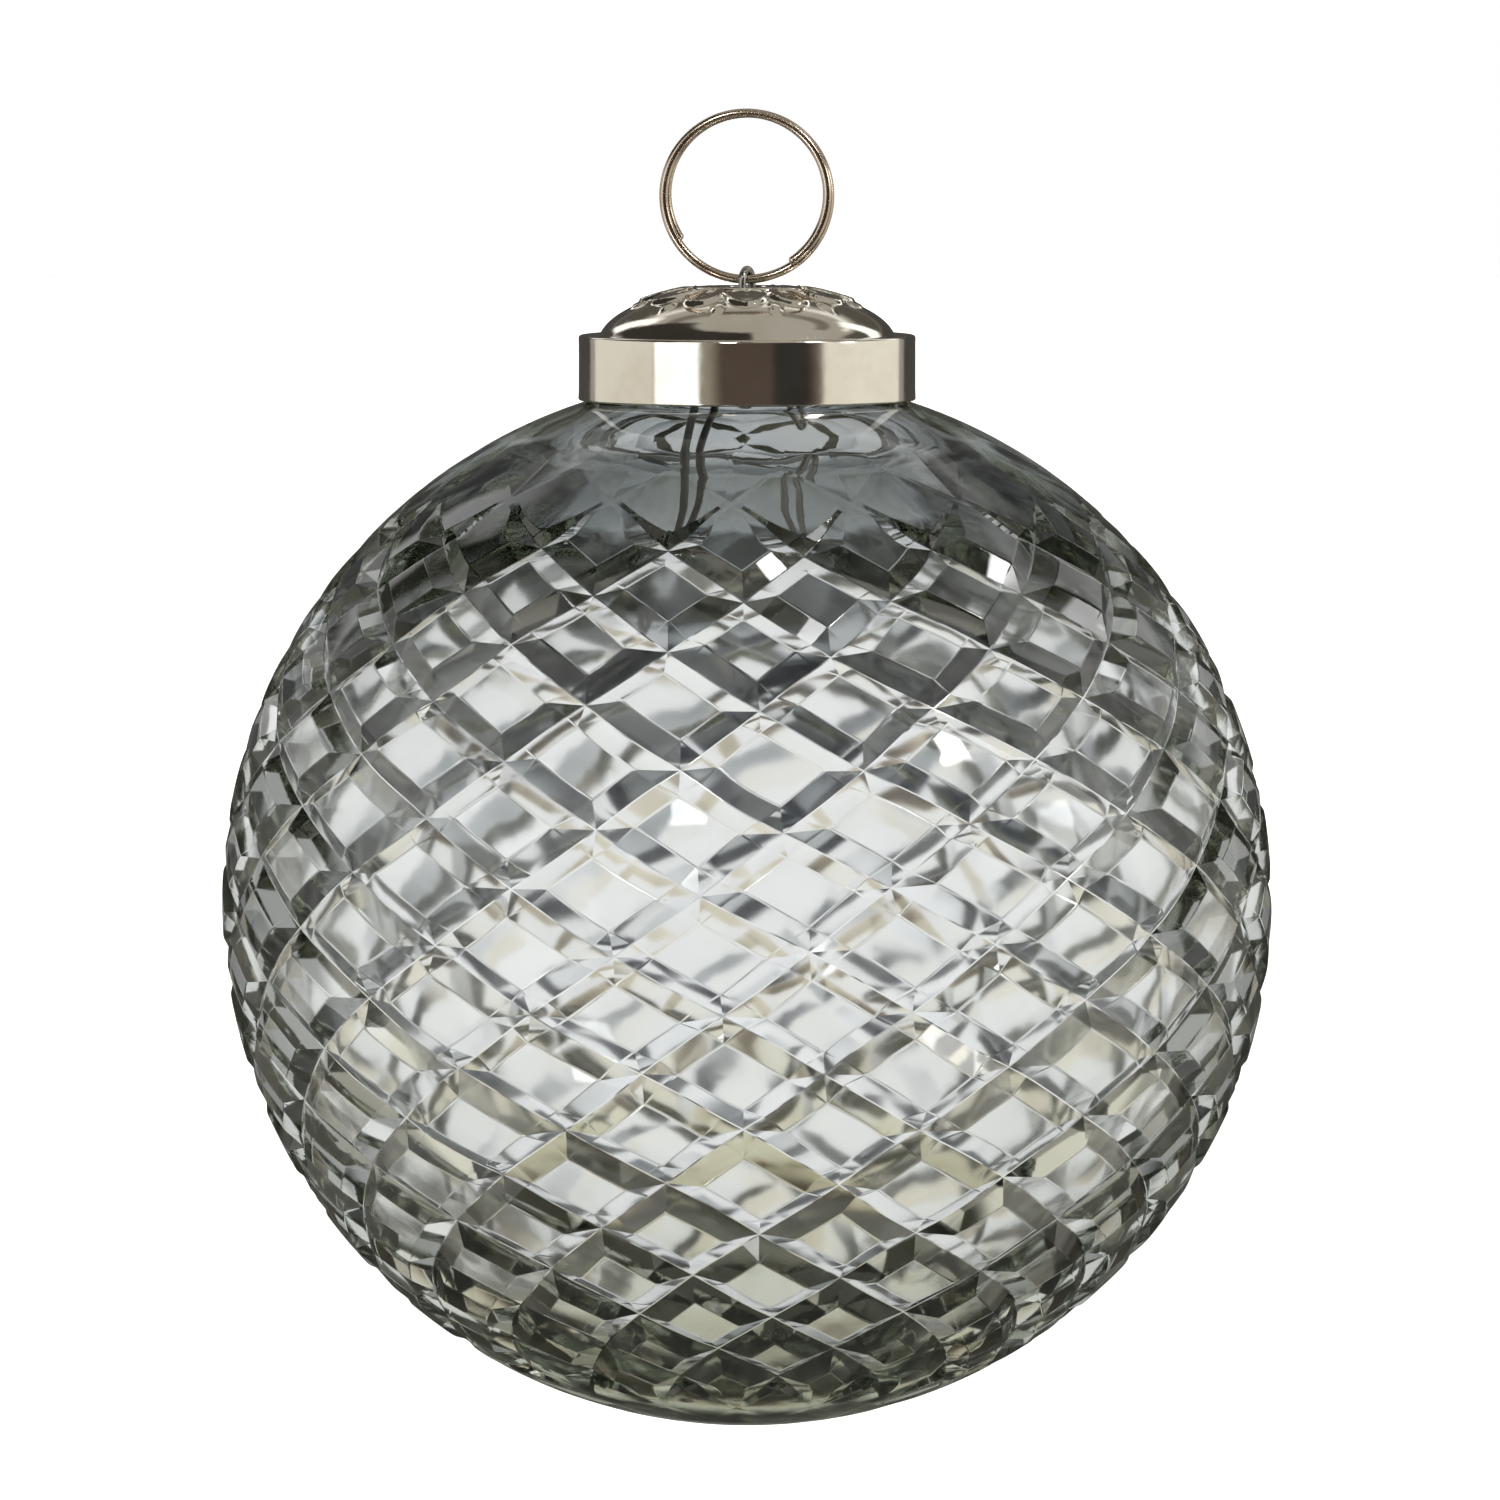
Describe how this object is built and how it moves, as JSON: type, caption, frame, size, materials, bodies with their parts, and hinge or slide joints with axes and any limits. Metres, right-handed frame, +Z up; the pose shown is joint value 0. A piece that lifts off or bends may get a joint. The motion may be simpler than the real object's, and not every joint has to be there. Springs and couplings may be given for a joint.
{
  "type": "glass ball ornament",
  "caption": "Hollow smoky glass ball with crossing wheel-cut grooves, a domed metal cap on a sprung wire hanger, and a split ring to hang it by.",
  "frame": {"origin": "the inside of the split ring at its top, where a hook or a thread holds the ornament", "axes": "+Z up along the ornament's axis, +X in the plane of the ring, -Y the front"},
  "size_m": [0.0998, 0.1, 0.1253],
  "materials": {
    "smoky_glass": "polished, clear, with a light smoke-grey tint",
    "nickel_plate": "polished warm nickel plate",
    "ring_steel": "drawn wire with a warm plated tone",
    "spring_steel": "dark drawn spring wire"
  },
  "bodies": {
    "ring": {"split_ring": "ring_steel"},
    "hanger": {"hanger_eye": "spring_steel"},
    "leg_left": {"clip_leg_left": "spring_steel"},
    "leg_right": {"clip_leg_right": "spring_steel"},
    "cap": {"cap_shell": "nickel_plate"},
    "ball": {"glass_ball": "smoky_glass"}
  },
  "joints": [
    {"name": "ring_swing", "type": "hinge", "parent": "ring", "child": "hanger", "pos_m": [0, 0, -0.0153], "axis": [1, 0, 0], "range_deg": [-60, 60]},
    {"name": "cap_swivel", "type": "hinge", "parent": "hanger", "child": "cap", "pos_m": [0, 0, -0.017], "axis": [0, 0, 1], "continuous": true},
    {"name": "ball_pull", "type": "slide", "parent": "cap", "child": "ball", "axis": [0, 0, -1], "range_m": [0, 0.022]},
    {"name": "leg_left_flex", "type": "hinge", "parent": "hanger", "child": "leg_left", "pos_m": [-0.00044, -0.00095, -0.01783], "axis": [0.9063, -0.4226, 0], "range_deg": [0, 26]},
    {"name": "leg_right_flex", "type": "hinge", "parent": "hanger", "child": "leg_right", "pos_m": [0.00044, 0.00095, -0.01783], "axis": [-0.9063, 0.4226, 0], "range_deg": [0, 26]}
  ],
  "couplings": [
    {"joint": "leg_left_flex", "follows": "ball_pull", "rad_per_m": 20},
    {"joint": "leg_right_flex", "follows": "ball_pull", "rad_per_m": 20}
  ]
}
